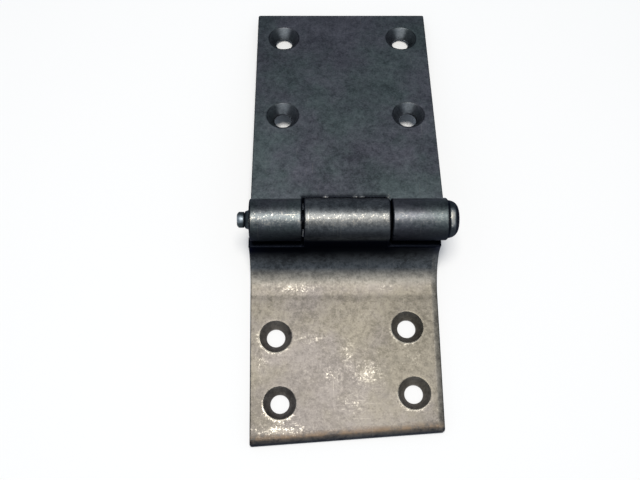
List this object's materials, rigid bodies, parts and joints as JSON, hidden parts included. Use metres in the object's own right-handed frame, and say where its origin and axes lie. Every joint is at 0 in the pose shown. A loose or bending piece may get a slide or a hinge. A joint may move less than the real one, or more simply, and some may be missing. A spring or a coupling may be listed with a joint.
{
  "type": "cranked hinge",
  "caption": "Heavy cranked hinge of bare steel plate: a long flat leaf and a shorter cranked leaf, countersunk for screws, on a headed pin.",
  "frame": {"origin": "on the lower leaf's flat back face, half way along it and under the middle of the pin", "axes": "+X along the pin towards its head, +Y from the lower leaf to the upper leaf, +Z out of the lower leaf's mounting surface"},
  "size_m": [0.113, 0.2561, 0.051],
  "materials": {
    "plate_steel": "bare hot-rolled steel, mottled and lightly oiled",
    "pin_steel": "bare turned steel, dulled"
  },
  "bodies": {
    "lower_side": {"lower_leaf": "plate_steel"},
    "upper_side": {"upper_leaf": "plate_steel", "hinge_pin": "pin_steel"}
  },
  "joints": [
    {"name": "pin_hinge", "type": "hinge", "parent": "lower_side", "child": "upper_side", "pos_m": [0, 0.0685, 0.04], "axis": [1, 0, 0], "range_deg": [-38, 208]}
  ]
}
